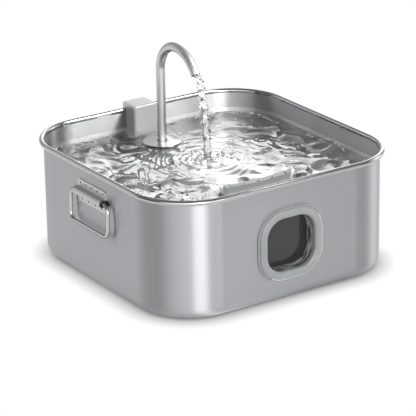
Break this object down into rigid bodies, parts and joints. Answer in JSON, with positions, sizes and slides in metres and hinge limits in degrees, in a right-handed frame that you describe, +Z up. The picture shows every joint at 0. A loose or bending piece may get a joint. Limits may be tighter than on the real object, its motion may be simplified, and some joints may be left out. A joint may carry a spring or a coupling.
{
  "type": "pet water fountain",
  "caption": "Square round-cornered steel pet water fountain with a swivelling gooseneck spout, sight window, wire bail handles, cord cover and lift-out filter cassette.",
  "frame": {"origin": "middle of the tub's underside, on the surface that it stands on", "axes": "+Z up, the front wall with the sight window faces -Y, and the handles are on the -X and +X walls"},
  "size_m": [0.3182, 0.3137, 0.229],
  "materials": {
    "tub_steel": "satin stainless sheet",
    "bright_steel": "polished stainless",
    "spout_steel": "fine satin stainless tube",
    "grey_plastic": "moulded light grey, satin",
    "black_plastic": "moulded black, satin",
    "white_plastic": "moulded white",
    "clear_plastic": "clear moulded window",
    "dark_rubber": "soft black rubber",
    "silicone": "milky silicone",
    "foam": "open black foam",
    "pad_fabric": "pressed white fibre",
    "magnet": "coated ferrite",
    "ceramic": "ground ceramic rod"
  },
  "bodies": {
    "tub": {"tub_shell": "tub_steel", "window_bezel": "grey_plastic", "window_gasket": "dark_rubber", "window_pane": "clear_plastic", "window_clamp_ring": "grey_plastic", "window_screws": "bright_steel", "handle_bracket_left": "tub_steel", "handle_bracket_right": "tub_steel", "handle_bushes_left": "black_plastic", "handle_bushes_right": "black_plastic", "pump_base": "grey_plastic", "pump_cover": "grey_plastic", "base_screws": "bright_steel", "suction_cups": "dark_rubber", "lead_gland": "dark_rubber", "motor_case": "black_plastic", "volute_cover": "black_plastic", "rotor_shaft": "ceramic", "foam_prefilter": "foam", "riser_tube": "silicone", "spout_socket": "grey_plastic", "spout_oring": "dark_rubber", "spout_flange": "bright_steel", "filter_well": "grey_plastic"},
    "bail_left": {"handle_bail_left": "bright_steel"},
    "bail_right": {"handle_bail_right": "bright_steel"},
    "spout": {"spout_pipe": "spout_steel", "spout_collar": "grey_plastic"},
    "rotor": {"impeller": "white_plastic", "rotor_magnet": "magnet"},
    "cassette": {"filter_box": "grey_plastic", "filter_back": "grey_plastic", "filter_pad": "pad_fabric", "filter_grip": "grey_plastic"},
    "cover": {"cord_cover": "grey_plastic", "cord_grommet": "dark_rubber"}
  },
  "joints": [
    {"name": "handle_left_swing", "type": "hinge", "parent": "tub", "child": "bail_left", "pos_m": [-0.1546, 0, 0.1035], "axis": [0, 1, 0], "range_deg": [-5, 170]},
    {"name": "handle_right_swing", "type": "hinge", "parent": "tub", "child": "bail_right", "pos_m": [0.1546, 0, 0.1035], "axis": [0, -1, 0], "range_deg": [-5, 170]},
    {"name": "spout_swivel", "type": "hinge", "parent": "tub", "child": "spout", "pos_m": [0, 0.098, 0.103], "axis": [0, 0, 1], "range_deg": [-75, 75]},
    {"name": "impeller_spin", "type": "hinge", "parent": "tub", "child": "rotor", "pos_m": [-0.006, 0.098, 0.031], "axis": [0, 1, 0], "continuous": true},
    {"name": "filter_lift", "type": "slide", "parent": "tub", "child": "cassette", "axis": [0, 0, 1], "range_m": [0, 0.125]},
    {"name": "cord_cover_lift", "type": "slide", "parent": "tub", "child": "cover", "axis": [0, 0, 1], "range_m": [0, 0.04]}
  ]
}
